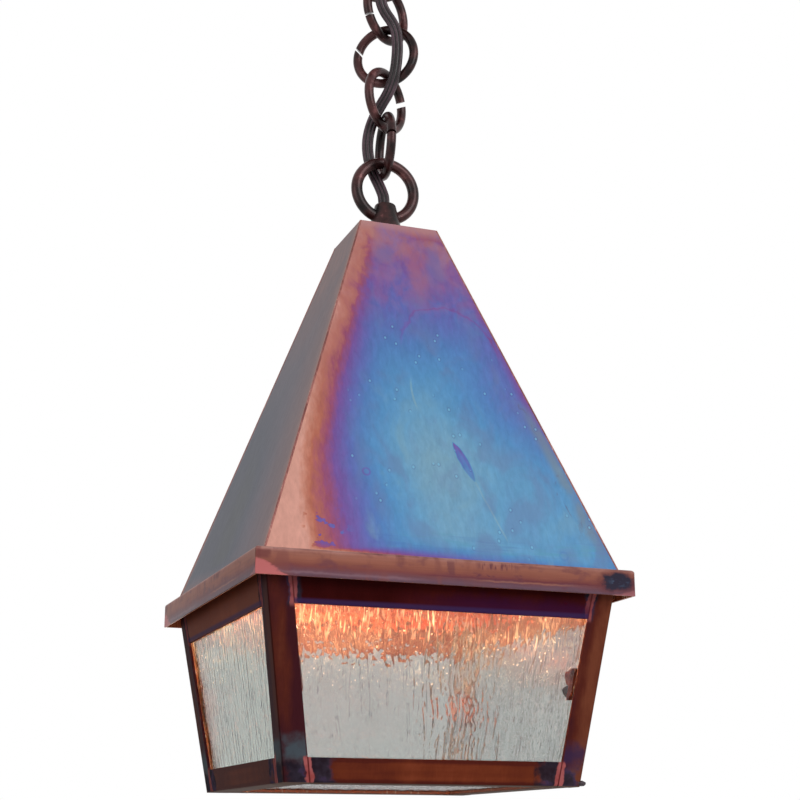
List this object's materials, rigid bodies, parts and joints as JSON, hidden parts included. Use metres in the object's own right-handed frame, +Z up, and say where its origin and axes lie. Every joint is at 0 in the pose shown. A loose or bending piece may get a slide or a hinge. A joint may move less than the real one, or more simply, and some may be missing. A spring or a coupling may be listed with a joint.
{
  "type": "pendant lantern",
  "caption": "Square copper pendant lantern with a tall tapered roof and textured glass panes, hung from a ceiling canopy on a round-link chain laced with its cord.",
  "frame": {"origin": "centre of the ceiling strap's top face, on the ceiling and on the lantern's axis", "axes": "+Z up into the ceiling, the lantern hangs towards -Z, and its front pane faces -Y"},
  "size_m": [0.19, 0.19, 0.5163],
  "materials": {
    "roof_copper": "copper sheet with blue and purple heat colours",
    "cage_copper": "dark brown copper angle with heat marks at the soldered joints",
    "chain_copper": "dark brown satin",
    "canopy_copper": "dark brown satin",
    "rain_glass": "clear rain glass with vertical streaks",
    "plated_steel": "zinc plated",
    "fitting_brass": "turned brass",
    "porcelain": "white glaze",
    "bulb_glass": "frosted glass, lit",
    "cord_jacket": "dark brown flat cord"
  },
  "bodies": {
    "canopy": {"ceiling_strap": "plated_steel", "canopy": "canopy_copper", "canopy_nipple": "fitting_brass", "canopy_locknut": "fitting_brass", "canopy_loop": "chain_copper", "lamp_cord": "cord_jacket"},
    "link_1": {"link_1": "chain_copper"},
    "link_2": {"link_2": "chain_copper"},
    "link_3": {"link_3": "chain_copper"},
    "link_4": {"link_4": "chain_copper"},
    "lantern": {"hanging_loop": "chain_copper", "roof_cap": "roof_copper", "roof_panel_front": "roof_copper", "roof_panel_right": "roof_copper", "roof_panel_back": "roof_copper", "roof_panel_left": "roof_copper", "post_front_left": "cage_copper", "post_front_right": "cage_copper", "post_back_right": "cage_copper", "post_back_left": "cage_copper", "top_rail_front": "cage_copper", "top_rail_right": "cage_copper", "top_rail_back": "cage_copper", "top_rail_left": "cage_copper", "bottom_rail_front": "cage_copper", "bottom_rail_right": "cage_copper", "bottom_rail_back": "cage_copper", "bottom_rail_left": "cage_copper", "pane_front": "rain_glass", "pane_right": "rain_glass", "pane_back": "rain_glass", "pane_left": "rain_glass", "glass_tab_front_left": "cage_copper", "glass_tab_front_right": "cage_copper", "glass_tab_back_right": "cage_copper", "glass_tab_back_left": "cage_copper", "bottom_pane": "rain_glass", "roof_nipple": "fitting_brass", "roof_washer": "fitting_brass", "roof_locknut": "fitting_brass", "lampholder": "porcelain", "screw_shell": "fitting_brass", "bulb": "bulb_glass"}
  },
  "joints": [
    {"name": "link_1_swing", "type": "hinge", "parent": "canopy", "child": "link_1", "pos_m": [0, 0, -0.06772], "axis": [0.766, -0.6428, 0], "range_deg": [-25, 25], "deforming": ["lamp_cord"]},
    {"name": "link_2_swing", "type": "hinge", "parent": "link_1", "child": "link_2", "pos_m": [0, 0, -0.09511], "axis": [0.848, 0.5299, 0], "range_deg": [-25, 25], "deforming": ["lamp_cord"]},
    {"name": "link_3_swing", "type": "hinge", "parent": "link_2", "child": "link_3", "pos_m": [0, 0, -0.12329], "axis": [0.7986, -0.6018, 0], "range_deg": [-25, 25], "deforming": ["lamp_cord"]},
    {"name": "link_4_swing", "type": "hinge", "parent": "link_3", "child": "link_4", "pos_m": [0, 0, -0.15147], "axis": [0.7986, 0.6018, 0], "range_deg": [-25, 25], "deforming": ["lamp_cord"]},
    {"name": "lantern_swing", "type": "hinge", "parent": "link_4", "child": "lantern", "pos_m": [0, 0, -0.17965], "axis": [0.1392, 0.9903, 0], "range_deg": [-25, 25], "deforming": ["lamp_cord"]}
  ]
}
